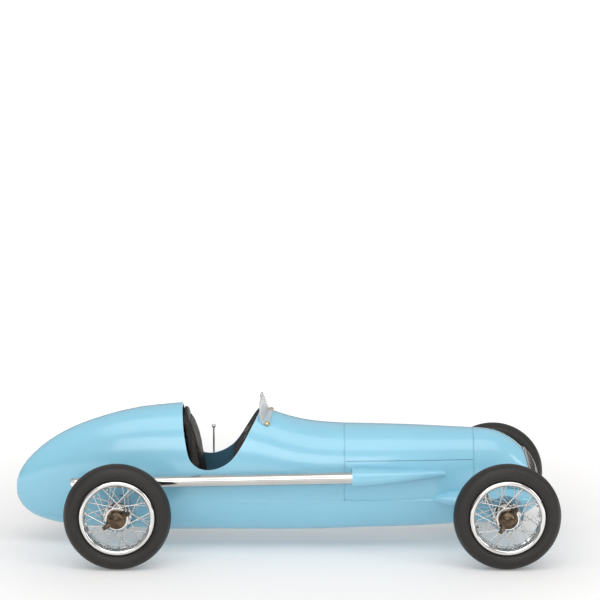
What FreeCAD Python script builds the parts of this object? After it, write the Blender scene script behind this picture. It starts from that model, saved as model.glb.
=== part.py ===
"""Streamlined single-seat racing car, a large display model with wire wheels.

Frame: +X is forward, +Y is the car's left side, +Z is up.
The origin is on the ground, under the middle of the overall box. Units are millimetres.
"""
import FreeCAD, Part
import math
import os

Vector = FreeCAD.Vector

# ---- Overall layout ---------------------------------------------------------------------
TAIL_X = -277.5
TAIL_TIP_X = -278.3
FRONT_AXLE_X = 223.5
REAR_AXLE_X = -166.5
AXLE_Z = 54.0
HALF_TRACK = 95.0

# ---- Wheels -----------------------------------------------------------------------------
TYRE_R = 54.0
TYRE_HALF_WIDTH = 10.75
RIM_R = 38.5
RIM_BULGE_R = 2.9
RIM_HALF_WIDTH = 9.4
SPOKE_R = 0.5
SPOKES_PER_FLANGE = 20
STUB_R = 2.5
RUNNING_CLEARANCE = 0.05
INNER_FLANGE_R = 14.0
OUTER_FLANGE_R = 11.5
HUB_BARREL_R = 7.5
HUB_INNER_Y = 89.0
HUB_OUTER_Y = 104.0
NUT_TIP_Y = 115.4
STUB_END_Y = 108.0
DRUM_R = 17.5
DRUM_INNER_Y = 80.5
DRUM_OUTER_Y = 88.0

# ---- Body -------------------------------------------------------------------------------
SKIN = 2.0
SEAM_GAP = 0.9
SEAM_DEPTH = 0.8
COWL_SEAM_X = 61.7
NOSE_SEAM_X = 194.2
BONNET_SEAM_Z = 97.2
CREASE_Z = 57.0
CREASE_STEP = 1.5
GRILLE_FOOT_X = 260.5
GRILLE_FOOT_Z = 47.0
GRILLE_RAKE_DEG = 13.8
GRILLE_BAR_PITCH = 2.1
LIP_DEPTH = 3.0
LIP_HEIGHT = 4.5
BELLY_REAR_X = -121.0
BELLY_FRONT_X = 41.0
BELLY_HALF_WIDTH = 11.0
BELLY_LOW_Z = 19.2
BELLY_TOP_Z = 21.9
BODY_FRONT_X = 264.0
AXLE_FAIRING_X = 215.0
FAR = 400.0

# Side-view and plan-view outlines of the body as (x, value) points.
CREST = [(TAIL_TIP_X, 60.5), (-274.5, 77.0), (-265, 91.3), (-250, 105.5), (-225, 121.5), (-190, 135.4),
         (-150, 145.3), (-105, 150.0), (-62, 151.0), (-24, 145.9), (0, 137.6), (30, 130.8),
         (62, 128.4), (120, 127.0), (194, 123.7), (219, 120.3), (235, 112.3), (247, 102.0),
         (BODY_FRONT_X, 82.0)]
KEEL = [(TAIL_TIP_X, 60.0), (-274.5, 46.0), (-262, 33.4), (-245, 26.6), (-230, 23.3), (-190, 20.0),
        (-100, 18.6), (50, 18.6), (88, 19.8), (149, 21.8), (199, 24.4), (225, 25.8), (240, 29.4),
        (252, 35.5), (BODY_FRONT_X, 46.0)]
HALF_WIDTH = [(TAIL_TIP_X, 0.3), (-270, 9.0), (-250, 17.0), (-200, 28.5), (-150, 36.0), (-100, 40.0),
              (-50, 41.0), (0, 41.0), (60, 40.5), (120, 38.0), (180, 33.5), (220, 29.5), (250, 25.0),
              (BODY_FRONT_X, 21.5)]
WAIST_Z = [(TAIL_TIP_X, 60.25), (-270, 66.0), (-250, 72.0), (-200, 76.0), (-100, 77.0), (100, 77.0),
           (200, 75.0), (240, 70.0), (BODY_FRONT_X, 66.0)]
UPPER_ROUNDNESS = 2.25
LOWER_ROUNDNESS = 2.4
TAIL_STATIONS = [TAIL_X, -277.3, -276.9, -276.2, -275.2, -274]
STATIONS = [-274, -271, -267, -261, -253, -243, -230, -212, -190, -165, -135,
            -105, -85, -70, -55, -40, -24, -8, 10, 30, 60, 90, 120, 150, 175, 194, 207, 219, 229,
            238, 247, 256, BODY_FRONT_X]

# Side-view outline of the cockpit opening, cut straight across the body.
COCKPIT_CUT = [(-104.8, 151.5), (-103, 130), (-99.5, 109), (-95.8, 97.7), (-85.6, 89.3), (-77, 88),
               (-63.3, 91.7), (-53, 99), (-45, 109.5), (-35, 127), (-26.8, 141), (-21, 150.5)]
COWL_LEAN_DEG = 31.0
COWL_POINT = Vector(-38.6, 0, 121.0)

# ---- Chassis and steering ---------------------------------------------------------------
RAIL_INNER_Y = 10.0
RAIL_OUTER_Y = 14.0
RAIL_LOW_Z = 40.0
RAIL_TOP_Z = 46.0
AXLE_TUBE_R = 6.0
KINGPIN_Y = 70.0
KINGPIN_R = 2.0
STEER_ARM = 20.0
STEER_PIN_R = 1.5
TRACK_ROD_Z = 69.0
BOX_SHAFT_X = 92.0
COLUMN_R = 2.0
WHEEL_CENTRE = Vector(-42.0, 0, 75.0)
COLUMN_RAKE_DEG = 11.0
STEERING_WHEEL_R = 18.0
STEERING_RIM_R = 1.9
DASH_SETBACK = 0.6
DASH_THICKNESS = 2.0
DASH_LOW_Z = 97.0

# ---- Exhaust ----------------------------------------------------------------------------
PIPE_FRONT = Vector(78, -51.2, 83.0)
PIPE_REAR = Vector(-218, -46.0, 75.9)
PIPE_FRONT_R = 6.1
PIPE_REAR_R = 5.7
PIPE_WALL = 0.8
PIPE_SLASH_DEG = 27.0
FAIRING_REAR_X = 69.3

# ---- Brake lever ------------------------------------------------------------------------
LEVER_X = -74.6
LEVER_Y = 45.0
LEVER_PIVOT_Z = 64.0
KNOB_Z = 115.5


# ---- Small helpers ----------------------------------------------------------------------
def box(x0, x1, y0, y1, z0, z1):
    """Box between two opposite corners."""
    return Part.makeBox(x1 - x0, y1 - y0, z1 - z0, Vector(x0, y0, z0))


def rod(start, end, radius):
    """Round bar from one point to another."""
    along = end - start
    return Part.makeCylinder(radius, along.Length, start, along)


def tapered_rod(start, end, start_radius, end_radius):
    """Round bar whose radius changes evenly along its length."""
    along = end - start
    return Part.makeCone(start_radius, end_radius, along.Length, start, along)


def upright(x, y, z0, z1, radius):
    """Vertical round bar."""
    return rod(Vector(x, y, z0), Vector(x, y, z1), radius)


def crosswise(x, z, y0, y1, radius):
    """Round bar along Y."""
    return rod(Vector(x, y0, z), Vector(x, y1, z), radius)


def side_prism(points, y0, y1):
    """Solid with an (x, z) outline, from y0 to y1."""
    corners = [Vector(x, y0, z) for x, z in points]
    face = Part.Face(Part.makePolygon(corners + corners[:1]))
    return face.extrude(Vector(0, y1 - y0, 0))


def join(shapes):
    """One shape made of overlapping solids."""
    return shapes[0].multiFuse(shapes[1:]).removeSplitter()


def mirror_y(shape):
    """The same shape on the other side of the car."""
    return shape.mirror(Vector(0, 0, 0), Vector(0, 1, 0))


def both_sides(shape):
    """A left-hand shape with its right-hand twin, as separate solids."""
    return Part.makeCompound([shape, mirror_y(shape)])


def solids_only(shape):
    """The solids of a shape, without slivers."""
    return Part.makeCompound([solid for solid in shape.Solids if solid.Volume > 0.5])


def save(name, shape):
    """Write one node."""
    if not shape.isValid():
        print("invalid:", name)
    shape.exportStep("parts/" + name + ".step")
    print(f"{name:24s} solids {len(shape.Solids)} volume {shape.Volume:10.1f}")


# ---- Body surface -----------------------------------------------------------------------
def outline(points):
    """Smooth curve through (x, value) points that can turn square at the tail."""
    span = BODY_FRONT_X - TAIL_TIP_X
    knots = [math.sqrt((x - TAIL_TIP_X) / span) for x, _ in points]
    curve = Part.BSplineCurve()
    curve.interpolate(Points=[Vector(t, v, 0) for t, (_, v) in zip(knots, points)], Parameters=knots)
    return lambda x: curve.value(math.sqrt((x - TAIL_TIP_X) / span)).y


crest = outline(CREST)
keel = outline(KEEL)
half_width = outline(HALF_WIDTH)
waist = outline(WAIST_Z)


def crease_strength(x):
    """The crease along the sill fades in from the middle of the cockpit."""
    return min(max((x + 80.0) / 60.0, 0.0), 1.0)


def side_points(x, inset):
    """(y, z) points of the left half of a cross-section, from the crest down to the keel."""
    top = crest(x) - inset
    low = keel(x) + inset
    wide = half_width(x) - inset
    mid = waist(x)
    points = []
    for angle in (0, 9, 20, 32, 44, 56, 67, 78):
        a = math.radians(angle)
        y = wide * math.sin(a) ** (2 / UPPER_ROUNDNESS)
        z = mid + (top - mid) * math.cos(a) ** (2 / UPPER_ROUNDNESS)
        points.append((y, z))
    depth = mid - low
    crease = min(max((mid - CREASE_Z) / depth, 0.2), 0.55)
    strength = crease_strength(x) if inset <= 0 else 0.0
    drops = [0.0, 0.45 * crease, 0.8 * crease, crease - 0.022, crease, crease + 0.022,
             crease + 0.06, crease + 0.14, crease + 0.27]
    for drop in drops:
        y = wide * (1 - drop ** LOWER_ROUNDNESS) ** (1 / LOWER_ROUNDNESS)
        if drop >= crease + 0.02:
            y += strength * CREASE_STEP * math.exp(-(drop - crease) / 0.35)
        elif drop > crease - 0.01:
            y += strength * CREASE_STEP * 0.1
        points.append((y, mid - depth * drop))
    last = drops[-1]
    start = math.asin((1 - last ** LOWER_ROUNDNESS) ** 0.5)
    for share in (0.78, 0.58, 0.4, 0.24, 0.11, 0.0):
        a = start * share
        y = wide * math.sin(a) ** (2 / LOWER_ROUNDNESS)
        z = mid - depth * math.cos(a) ** (2 / LOWER_ROUNDNESS)
        y += strength * CREASE_STEP * math.exp(-(last - crease) / 0.35) * share
        points.append((y, z))
    return points


def ring_points(x, inset):
    """(y, z) points all round a cross-section, starting at the keel."""
    left = side_points(x, inset)
    left.reverse()
    return left + [(-y, z) for y, z in reversed(left[1:-1])]


def ring_parameters(x):
    """Share of the way round the cross-section at x, at each of its points."""
    ring = ring_points(x, 0.0)
    steps = [math.dist(a, b) for a, b in zip(ring, ring[1:] + ring[:1])]
    return [sum(steps[:i]) / sum(steps) for i in range(len(steps) + 1)]


RING_PARAMETERS = ring_parameters(0.0)


def section(x, inset):
    """Closed cross-section of the body at x."""
    points = [Vector(x, y, z) for y, z in ring_points(x, inset)]
    curve = Part.BSplineCurve()
    curve.interpolate(Points=points, PeriodicFlag=True, Parameters=RING_PARAMETERS)
    return Part.Wire([curve.toShape()])


def body_solid(inset, x0, x1):
    """The body as a solid between two stations, with its skin moved inward by inset."""
    inside = [x for x in STATIONS if x0 + 1.5 < x < x1 - 1.5]
    return Part.makeLoft([section(x, inset) for x in [x0] + inside + [x1]], True, False)


def skin_height(x, y, inset=0.0):
    """Height of the upper surface of the body at (x, y)."""
    share = min(abs(y) / (half_width(x) - inset), 1.0)
    mid = waist(x)
    top = crest(x) - inset
    return mid + (top - mid) * (1 - share ** UPPER_ROUNDNESS) ** (1 / UPPER_ROUNDNESS)


def skin_normal(x, y):
    """Outward direction of the upper surface of the body at (x, y)."""
    step = 0.5
    slope_x = (skin_height(x + step, y) - skin_height(x - step, y)) / (2 * step)
    slope_y = (skin_height(x, y + step) - skin_height(x, y - step)) / (2 * step)
    return Vector(-slope_x, -slope_y, 1).normalize()


def behind_grille(setback):
    """Everything behind the raked front face, moved back by setback."""
    rake = math.radians(GRILLE_RAKE_DEG)
    foot_x = GRILLE_FOOT_X - setback / math.cos(rake)
    low_x = foot_x + GRILLE_FOOT_Z * math.tan(rake)
    high_x = foot_x - (200 - GRILLE_FOOT_Z) * math.tan(rake)
    return side_prism([(-FAR, 0), (low_x, 0), (high_x, 200), (-FAR, 200)], -FAR, FAR)


def cockpit_cutter():
    """Prism that opens the cockpit."""
    top = [(COCKPIT_CUT[-1][0] + 5, 170), (COCKPIT_CUT[0][0], 170)]
    edge = Part.BSplineCurve()
    edge.interpolate([Vector(x, -70, z) for x, z in COCKPIT_CUT])
    lid = Part.makePolygon([edge.EndPoint] + [Vector(x, -70, z) for x, z in top] + [edge.StartPoint])
    face = Part.Face(Part.Wire([edge.toShape()] + lid.Edges))
    return face.extrude(Vector(0, 140, 0))


def leaning_slab(offset, thickness):
    """Slab parallel to the cockpit's front edge, offset forward of it."""
    lean = math.radians(COWL_LEAN_DEG)
    slab = Part.makeBox(thickness, 200, 200, Vector(offset, -100, -100))
    slab.rotate(Vector(0, 0, 0), Vector(0, 1, 0), math.degrees(lean))
    slab.translate(COWL_POINT)
    return slab


# ---- Body panels ------------------------------------------------------------------------
TAIL_TIP = Part.makeLoft([section(x, 0.0) for x in TAIL_STATIONS], True, True)
OUTER = TAIL_TIP.fuse(body_solid(0.0, STATIONS[0], BODY_FRONT_X))
INNER = body_solid(SKIN, -270.0, BODY_FRONT_X)
LINING = body_solid(SKIN + 1.6, -60.0, 215.0)
SHELL = OUTER.cut(INNER)
HALF_GAP = SEAM_GAP / 2


def axle_hole(x, radius):
    """Cutter for an axle that passes right through the body."""
    return crosswise(x, AXLE_Z, -60, 60, radius)


def track_rod_hole():
    """Cutter for the track rod with room for its swing."""
    return crosswise(FRONT_AXLE_X - STEER_ARM, TRACK_ROD_Z, -70, 70, 5.0)


def belly_opening(clearance):
    """Rectangle in the floor of the body that the belly pan fills."""
    wide = BELLY_HALF_WIDTH + clearance
    return box(BELLY_REAR_X - clearance, BELLY_FRONT_X + clearance, -wide, wide, 10, 27)


def main_body_shell():
    bonnet = box(COWL_SEAM_X - HALF_GAP, FAR, -60, 60, CREASE_Z - HALF_GAP, 200)
    nose = box(NOSE_SEAM_X - HALF_GAP, FAR, -60, 60, 0, 200)
    shell = SHELL.cut(bonnet.fuse(nose))
    shell = shell.cut(cockpit_cutter())
    shell = shell.cut(axle_hole(REAR_AXLE_X, AXLE_TUBE_R + 0.3))
    for x, y in windscreen_screw_places():
        foot = Vector(x, y, skin_height(x, y))
        shell = shell.cut(rod(foot - skin_normal(x, y) * 4, foot + skin_normal(x, y) * 2, 1.3))
    return solids_only(shell.cut(belly_opening(0.3)))


def bonnet_top():
    cutter = box(COWL_SEAM_X + HALF_GAP, NOSE_SEAM_X - HALF_GAP, -60, 60, BONNET_SEAM_Z + HALF_GAP, 200)
    return solids_only(SHELL.common(cutter))


def bonnet_side(side):
    low = CREASE_Z + HALF_GAP
    high = BONNET_SEAM_Z - HALF_GAP
    cutter = box(COWL_SEAM_X + HALF_GAP, NOSE_SEAM_X - HALF_GAP, 5, 60, low, high)
    panel = solids_only(SHELL.common(cutter))
    return panel if side > 0 else mirror_y(panel)


def nose_cowl():
    """Nose with a turned-in lip round the grille's opening."""
    region = box(NOSE_SEAM_X + HALF_GAP, FAR, -60, 60, 0, 200)
    nose = OUTER.common(region).common(behind_grille(0.0))
    nose = nose.cut(INNER.common(behind_grille(LIP_DEPTH)))
    nose = nose.cut(body_solid(LIP_HEIGHT, 240, BODY_FRONT_X))
    nose = nose.cut(axle_hole(FRONT_AXLE_X, AXLE_TUBE_R + 0.3))
    return solids_only(nose.cut(track_rod_hole()))


def grille_dome(shrink):
    """Rounded volume that bulges out of the front opening."""
    ball = Part.makeSphere(1.0)
    matrix = FreeCAD.Matrix()
    matrix.scale(Vector(21.0 - shrink, 21.5 - shrink, 34.0 - shrink))
    dome = ball.transformGeometry(matrix)
    dome.rotate(Vector(0, 0, 0), Vector(0, 1, 0), -GRILLE_RAKE_DEG)
    dome.translate(Vector(242.0, 0, 73.5))
    return dome


def radiator_grille():
    """Domed grille of upright bars in an oval surround."""
    skin = grille_dome(0.0).cut(grille_dome(1.6)).cut(behind_grille(-0.6))
    pieces = []
    for i in range(-9, 10):
        half = 0.9 if i == 0 else 0.4
        middle = GRILLE_BAR_PITCH * i
        pieces.append(skin.common(box(200, 300, middle - half, middle + half, 0, 150)))
    surround = grille_dome(-0.6).cut(grille_dome(2.2)).cut(behind_grille(-0.6)).common(behind_grille(-2.6))
    return solids_only(join([surround] + [bar for piece in pieces for bar in piece.Solids]))


def radiator_core():
    inside = body_solid(SKIN + 0.6, 225, BODY_FRONT_X)
    return solids_only(inside.common(behind_grille(7.0)).cut(behind_grille(10.0)))


def half_egg(length):
    """Half of an egg round the front axle, longer than wide; negative lengths point to the rear."""
    half_ball = Part.makeSphere(1.0).common(box(0, 2, -2, 2, -2, 2))
    if length < 0:
        half_ball = half_ball.mirror(Vector(0, 0, 0), Vector(1, 0, 0))
    matrix = FreeCAD.Matrix()
    matrix.scale(Vector(abs(length), 21.0, 10.5))
    egg = half_ball.transformGeometry(matrix)
    egg.translate(Vector(AXLE_FAIRING_X, 29.0, 57.0))
    return egg


def axle_fairings():
    """Fairings round the front axle, drawn out to the rear and short at the front."""
    egg = half_egg(-66.0).fuse(half_egg(46.0)).cut(OUTER)
    egg = egg.cut(axle_hole(FRONT_AXLE_X, AXLE_TUBE_R + 0.3)).cut(track_rod_hole())
    return both_sides(solids_only(egg))


def belly_pan():
    pan = box(BELLY_REAR_X, BELLY_FRONT_X, -BELLY_HALF_WIDTH, BELLY_HALF_WIDTH, BELLY_LOW_Z, BELLY_TOP_Z)
    for x, y in belly_screw_places():
        pan = pan.cut(Part.makeCone(3.0, 1.3, 1.7, Vector(x, y, BELLY_LOW_Z), Vector(0, 0, 1)))
        pan = pan.cut(upright(x, y, BELLY_LOW_Z - 1, BELLY_TOP_Z + 1, 1.3))
    return pan


def belly_screw_places():
    return [(x, y) for x in (-110, -40, 30) for y in (-7, 7)]


def belly_pan_screws():
    screws = []
    for x, y in belly_screw_places():
        low = BELLY_LOW_Z + 0.2
        head = Part.makeCone(2.8, 1.1, 1.6, Vector(x, y, low), Vector(0, 0, 1))
        screw = head.fuse(upright(x, y, low + 1, RAIL_LOW_Z + 3, 1.1))
        screws.append(screw.cut(box(x - 2, x + 2, y - 0.3, y + 0.3, low - 0.5, low + 0.7)))
    return Part.makeCompound(screws)


def bonnet_hoops():
    """Frames inside the seams of the bonnet, with ribs that stand up into the seams."""
    ring = body_solid(SKIN + 0.1, -60.0, 215.0).cut(LINING)
    rear_x = COWL_SEAM_X + 4
    front_x = NOSE_SEAM_X - 4
    frame = ring.common(box(COWL_SEAM_X - 4, NOSE_SEAM_X + 4, -60, 60, 50, 200))
    frame = frame.cut(box(rear_x, front_x, -60, 60, BONNET_SEAM_Z + 4, 200))
    frame = frame.cut(box(rear_x, front_x, -60, 60, CREASE_Z + 4, BONNET_SEAM_Z - 4))
    rib = HALF_GAP - 0.05
    skin = body_solid(SEAM_DEPTH, -60.0, 215.0).cut(body_solid(SKIN + 0.6, -60.0, 215.0))
    seams = [box(COWL_SEAM_X - rib, COWL_SEAM_X + rib, -60, 60, CREASE_Z + 1, 200),
             box(NOSE_SEAM_X - rib, NOSE_SEAM_X + rib, -60, 60, CREASE_Z + 1, 200),
             box(COWL_SEAM_X, NOSE_SEAM_X, -60, 60, BONNET_SEAM_Z - rib, BONNET_SEAM_Z + rib)]
    ribs = [solid for seam in seams for solid in skin.common(seam).Solids]
    crease = box(COWL_SEAM_X, NOSE_SEAM_X, -60, 60, CREASE_Z - rib, CREASE_Z + rib)
    ribs += OUTER.common(crease).cut(body_solid(SKIN + 0.6, -60.0, 215.0)).Solids
    return solids_only(join([frame] + ribs))


# ---- Cockpit ----------------------------------------------------------------------------
def windscreen_outline():
    """Front view of the windscreen, as a prism along X."""
    outline_points = [(-33, 133), (-30, 139), (-23, 149.5), (-13, 157.8), (0, 161)]
    points = outline_points + [(-y, z) for y, z in reversed(outline_points[:-1])]
    top = Part.BSplineCurve()
    top.interpolate([Vector(-60, y, z) for y, z in points])
    base = Part.makePolygon([top.EndPoint, Vector(-60, 33, 120), Vector(-60, -33, 120), top.StartPoint])
    return Part.Face(Part.Wire([top.toShape()] + base.Edges)).extrude(Vector(80, 0, 0))


def curved_band(front_x, back_x, radius):
    """Upright band between two arcs seen from above, swept back at the sides."""
    centre_x = front_x - radius
    outside = upright(centre_x, 0, 100, 200, radius)
    return outside.cut(upright(centre_x - (front_x - back_x), 0, 90, 210, radius))


def windscreen_side():
    """Side view of the windscreen, with rounded lower ends, as a prism along Y."""
    low = [(-24.6, 137), (-22.6, 134.2), (-19.5, 133), (-16.4, 133.6), (-14.2, 136), (-12.5, 140)]
    return side_prism([(-25.4, 165), (-25.4, 141)] + low + [(-11, 147), (-11, 165)], -40, 40)


def windscreen():
    """Bent leaf that leans back, on a foot that lies on the body."""
    body = body_solid(-0.2, -62, 17)
    foot = body_solid(-1.5, -60, 15).cut(body).cut(cockpit_cutter())
    leaf = curved_band(-16.0, -17.3, 38.0)
    leaf.rotate(Vector(-16, 0, 147), Vector(0, 1, 0), -22.0)
    leaf = leaf.common(windscreen_outline()).cut(body)
    screen = solids_only(foot.fuse(leaf).common(windscreen_side()))
    for x, y in windscreen_screw_places():
        base = Vector(x, y, skin_height(x, y))
        out = skin_normal(x, y)
        screen = screen.cut(rod(base - out * 3, base + out * 6, 1.4))
        screen = screen.cut(rod(base + out * 1.6, base + out * 6, 2.6))
    return solids_only(screen)


def windscreen_screw_places():
    return [(-13.4, 0.0), (-17.5, 25.0), (-17.5, -25.0)]


def windscreen_screws():
    screws = []
    for x, y in windscreen_screw_places():
        foot = Vector(x, y, skin_height(x, y))
        out = skin_normal(x, y)
        dome = Part.makeSphere(3.2, foot)
        keep = Part.makeCylinder(2.4, 10, foot + out * 1.7, out)
        shank = rod(foot - out * 1.6, foot + out * 2.0, 1.2)
        screws.append(dome.common(keep).fuse(shank))
    return Part.makeCompound(screws)


def dashboard():
    """Panel across the scuttle, just inside the cockpit's front edge."""
    panel = INNER.common(leaning_slab(DASH_SETBACK, DASH_THICKNESS))
    return solids_only(panel.common(box(-80, 60, -60, 60, DASH_LOW_Z, 200)).cut(gauges()))


def gauges():
    """Three round instruments let into the dashboard."""
    lean = math.radians(COWL_LEAN_DEG)
    forward = Vector(math.cos(lean), 0, -math.sin(lean))
    up = Vector(math.sin(lean), 0, math.cos(lean))
    middle = COWL_POINT + forward * (DASH_SETBACK - 0.3)
    dials = []
    for y, rise, radius in ((-15.5, -4.0, 5.0), (0, 2.0, 6.5), (15.5, -4.0, 5.0)):
        place = middle + up * rise + Vector(0, y, 0)
        dials.append(Part.makeCylinder(radius, 1.5, place, forward))
    return Part.makeCompound(dials)


def seat_front():
    """Side-view line of the front of the backrest, from its top down."""
    return [(-101.5, 149.5), (-97.5, 138), (-93, 127), (-90, 118), (-87.5, 106), (-85.5, 94),
            (-83, 79), (-81, 62)]


def seat_back():
    front = seat_front()
    rear = [(x - 9 - 0.06 * (150 - z), z) for x, z in reversed(front)]
    rear[-1] = (-103.3, 148.8)
    rear[-2] = (-107.5, 138)
    block = side_prism(front + rear, -45, 45)
    return solids_only(block.common(body_solid(SKIN + 0.4, -130, -60)))


def seat_cushion():
    block = box(-82, -50, -28, 28, 48.4, 56.6)
    return block.makeFillet(3.0, block.Edges)


def cockpit_floor():
    floor = box(-108, -4, -60, 60, RAIL_TOP_Z, RAIL_TOP_Z + 2)
    return solids_only(floor.common(body_solid(SKIN + 0.3, -130, 20)))


# ---- Chassis ----------------------------------------------------------------------------
def chassis_rails():
    rail = box(-205, 236, RAIL_INNER_Y, RAIL_OUTER_Y, RAIL_LOW_Z, RAIL_TOP_Z)
    pieces = [rail, mirror_y(rail)]
    for x in (-195, -110, -40, 30, 140):
        pieces.append(box(x - 4, x + 4, -RAIL_INNER_Y - 1, RAIL_INNER_Y + 1, RAIL_LOW_Z, RAIL_LOW_Z + 4))
    for x, y in belly_screw_places():
        pieces.append(upright(x, y, BELLY_TOP_Z, RAIL_LOW_Z + 1, 2.8))
    frame = join(pieces)
    for x, y in belly_screw_places():
        frame = frame.cut(upright(x, y, 20, RAIL_LOW_Z + 3.2, 1.2))
    return frame.cut(crosswise(FRONT_AXLE_X, AXLE_Z, -60, 60, AXLE_TUBE_R))


def front_axle_beam():
    beam = crosswise(FRONT_AXLE_X, AXLE_Z, -KINGPIN_Y, KINGPIN_Y, AXLE_TUBE_R)
    pieces = [beam]
    for y in (-KINGPIN_Y, KINGPIN_Y):
        pieces.append(upright(FRONT_AXLE_X, y, 47.5, 60.5, 5.5))
    for y in (-12, 12):
        pieces.append(box(FRONT_AXLE_X - 8, FRONT_AXLE_X + 8, y - 2, y + 2, RAIL_TOP_Z, 54))
    beam = join(pieces)
    for y in (-KINGPIN_Y, KINGPIN_Y):
        beam = beam.cut(upright(FRONT_AXLE_X, y, 40, 70, KINGPIN_R))
    return beam


def kingpins():
    pin = upright(FRONT_AXLE_X, KINGPIN_Y, 41.2, 66.8, KINGPIN_R)
    pin = join([pin, upright(FRONT_AXLE_X, KINGPIN_Y, 66.8, 68.0, 3.0)])
    return both_sides(pin)


def stub_axle():
    """Left knuckle with the stub that the wheel turns on and the arm that steers it."""
    x = FRONT_AXLE_X
    pieces = []
    for z0, z1 in ((42.5, 46.5), (61.5, 65.5)):
        ear = upright(x, KINGPIN_Y, z0, z1, 5.0)
        pieces.append(ear)
        pieces.append(box(x - 5, x + 5, KINGPIN_Y, 80, z0, z1))
    pieces.append(box(x - 5, x + 5, 76.5, 80, 42.5, 65.5))
    pieces.append(crosswise(x, AXLE_Z, 78, STUB_END_Y, STUB_R))
    pieces.append(box(x - STEER_ARM, x, KINGPIN_Y - 2.5, KINGPIN_Y + 2.5, 61.5, 65.5))
    pieces.append(upright(x - STEER_ARM, KINGPIN_Y, 61.5, 65.5, 4.0))
    pieces.append(upright(x - STEER_ARM, KINGPIN_Y, 65.0, TRACK_ROD_Z + 3.6, STEER_PIN_R))
    knuckle = join(pieces)
    return knuckle.cut(upright(x, KINGPIN_Y, 40, 70, KINGPIN_R + RUNNING_CLEARANCE))


def brake_drum(x):
    """Left drum, a shallow round housing with cooling ribs behind the wheel's hub."""
    drum = crosswise(x, AXLE_Z, DRUM_INNER_Y, DRUM_OUTER_Y, DRUM_R)
    for y in (82.4, 84.4, 86.4):
        ring = crosswise(x, AXLE_Z, y, y + 0.8, DRUM_R + 1).cut(crosswise(x, AXLE_Z, y, y + 0.8, DRUM_R - 1.2))
        drum = drum.cut(ring)
    return drum.cut(crosswise(x, AXLE_Z, DRUM_INNER_Y - 1, DRUM_OUTER_Y + 1, STUB_R))


def rear_axle():
    x = REAR_AXLE_X
    tube = crosswise(x, AXLE_Z, -76, 76, AXLE_TUBE_R)
    housing = Part.makeSphere(13.0, Vector(x, 0, AXLE_Z))
    stubs = crosswise(x, AXLE_Z, -STUB_END_Y, STUB_END_Y, STUB_R)
    collars = [crosswise(x, AXLE_Z, -80.5, -75, 7.5), crosswise(x, AXLE_Z, 75, 80.5, 7.5)]
    axle = join([tube, housing, stubs] + collars)
    keep_rails = box(-205, 236, RAIL_INNER_Y, RAIL_OUTER_Y, RAIL_LOW_Z, RAIL_TOP_Z)
    return axle.cut(keep_rails).cut(mirror_y(keep_rails))


# ---- Steering ---------------------------------------------------------------------------
def column_direction():
    """Direction of the steering column, from the steering wheel down to the box."""
    rake = math.radians(COLUMN_RAKE_DEG)
    return Vector(math.cos(rake), 0, -math.sin(rake))


def column_foot():
    """Point where the column meets the back of the steering box."""
    reach = (BOX_SHAFT_X - 20 - WHEEL_CENTRE.x) / column_direction().x
    return WHEEL_CENTRE + column_direction() * reach


def steering_column():
    start = WHEEL_CENTRE + column_direction() * 2.0
    return rod(start, column_foot() + column_direction() * 7.0, COLUMN_R)


def steering_wheel_rim():
    return Part.makeTorus(STEERING_WHEEL_R, STEERING_RIM_R, WHEEL_CENTRE, column_direction())


def steering_wheel_spider():
    axis = column_direction()
    rake = math.radians(COLUMN_RAKE_DEG)
    up = Vector(math.sin(rake), 0, math.cos(rake))
    hub = rod(WHEEL_CENTRE - axis * 2, WHEEL_CENTRE + axis * 2, 4.0)
    arms = []
    for turn in (0, 90, 180, 270):
        a = math.radians(turn + 45)
        out = up * math.cos(a) + Vector(0, 1, 0) * math.sin(a)
        arms.append(rod(WHEEL_CENTRE, WHEEL_CENTRE + out * (STEERING_WHEEL_R - 0.5), 1.0))
    spider = join([hub] + arms)
    return spider.cut(steering_wheel_rim())


def steering_box():
    case = box(BOX_SHAFT_X - 20, BOX_SHAFT_X + 12, -15, 15, RAIL_TOP_Z, 60)
    case = case.makeFillet(2.0, [edge for edge in case.Edges if edge.BoundBox.ZLength > 5])
    foot = column_foot()
    bore = rod(foot - column_direction() * 9, foot + column_direction() * 9, COLUMN_R + RUNNING_CLEARANCE)
    shaft_bore = upright(BOX_SHAFT_X, 0, 50, 62, 2.5 + RUNNING_CLEARANCE)
    return case.cut(bore).cut(shaft_bore)


def drop_arm():
    shaft = upright(BOX_SHAFT_X, 0, 51, 66, 2.5)
    boss = upright(BOX_SHAFT_X, 0, 62, 66, 5.0)
    arm = box(BOX_SHAFT_X - STEER_ARM, BOX_SHAFT_X, -2.5, 2.5, 62, 66)
    tip = upright(BOX_SHAFT_X - STEER_ARM, 0, 62, 66, 4.0)
    pin = upright(BOX_SHAFT_X - STEER_ARM, 0, 65, TRACK_ROD_Z + 3.6, STEER_PIN_R)
    return join([shaft, boss, arm, tip, pin])


def track_rod():
    x = FRONT_AXLE_X - STEER_ARM
    bar = crosswise(x, TRACK_ROD_Z, -KINGPIN_Y, KINGPIN_Y, 2.0)
    pieces = [bar, upright(x, 0, TRACK_ROD_Z - 3, TRACK_ROD_Z + 3, 3.5)]
    for y in (-KINGPIN_Y, KINGPIN_Y):
        pieces.append(upright(x, y, TRACK_ROD_Z - 2.8, TRACK_ROD_Z + 3, 3.6))
    rod_shape = join(pieces)
    for y in (-KINGPIN_Y, KINGPIN_Y):
        rod_shape = rod_shape.cut(upright(x, y, 60, 80, STEER_PIN_R + RUNNING_CLEARANCE))
    return rod_shape


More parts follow.
